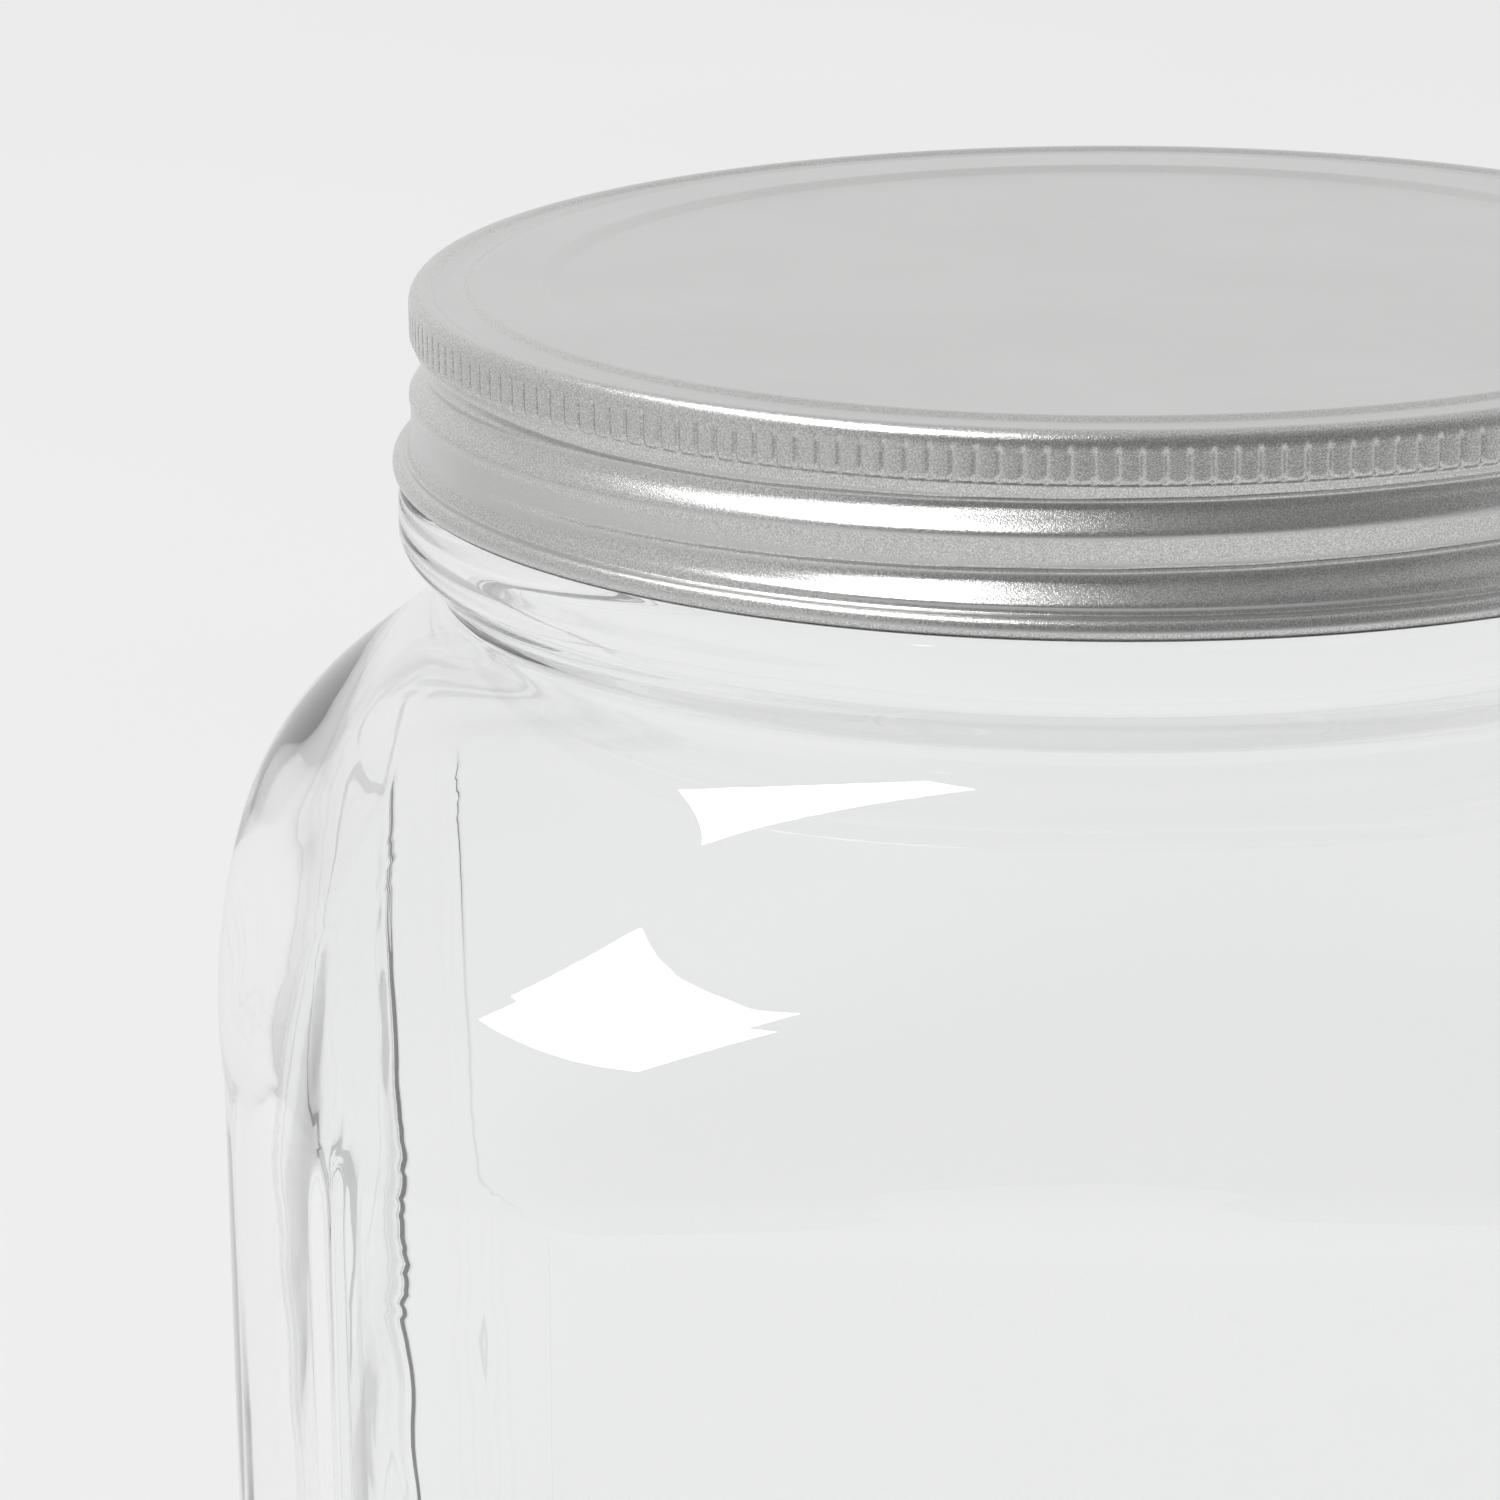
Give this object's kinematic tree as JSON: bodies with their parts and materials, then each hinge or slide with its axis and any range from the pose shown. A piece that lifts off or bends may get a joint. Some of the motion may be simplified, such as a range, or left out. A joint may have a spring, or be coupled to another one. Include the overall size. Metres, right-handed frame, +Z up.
{
  "type": "wide-mouth glass jar with screw lid",
  "caption": "Clear square glass jar with bowed faces, recessed label panels and a wide threaded neck, closed by a knurled metal screw lid with a sealing ring.",
  "frame": {"origin": "centre of the base, on the surface that the jar stands on", "axes": "+Z up along the axis of the jar, its mouth and its lid; -Y and +X through the middle of two faces"},
  "size_m": [0.146, 0.146, 0.247],
  "materials": {
    "glass": "clear, fire-polished, slightly uneven inside",
    "lid_metal": "satin tinplate with a faint grain",
    "seal": "matte moulded sealing compound"
  },
  "bodies": {
    "jar": {"jar": "glass"},
    "seal": {"lid_liner": "seal"},
    "lid": {"lid_shell": "lid_metal"}
  },
  "joints": [
    {"name": "lid_rise", "type": "slide", "parent": "jar", "child": "seal", "axis": [0, 0, 1], "range_m": [0, 0.02286]},
    {"name": "lid_turn", "type": "hinge", "parent": "seal", "child": "lid", "pos_m": [0, 0, 0.247], "axis": [0, 0, 1], "range_deg": [0, 1620]}
  ],
  "couplings": [
    {"joint": "lid_rise", "follows": "lid_turn", "m_per_rad": 0.00080851}
  ]
}
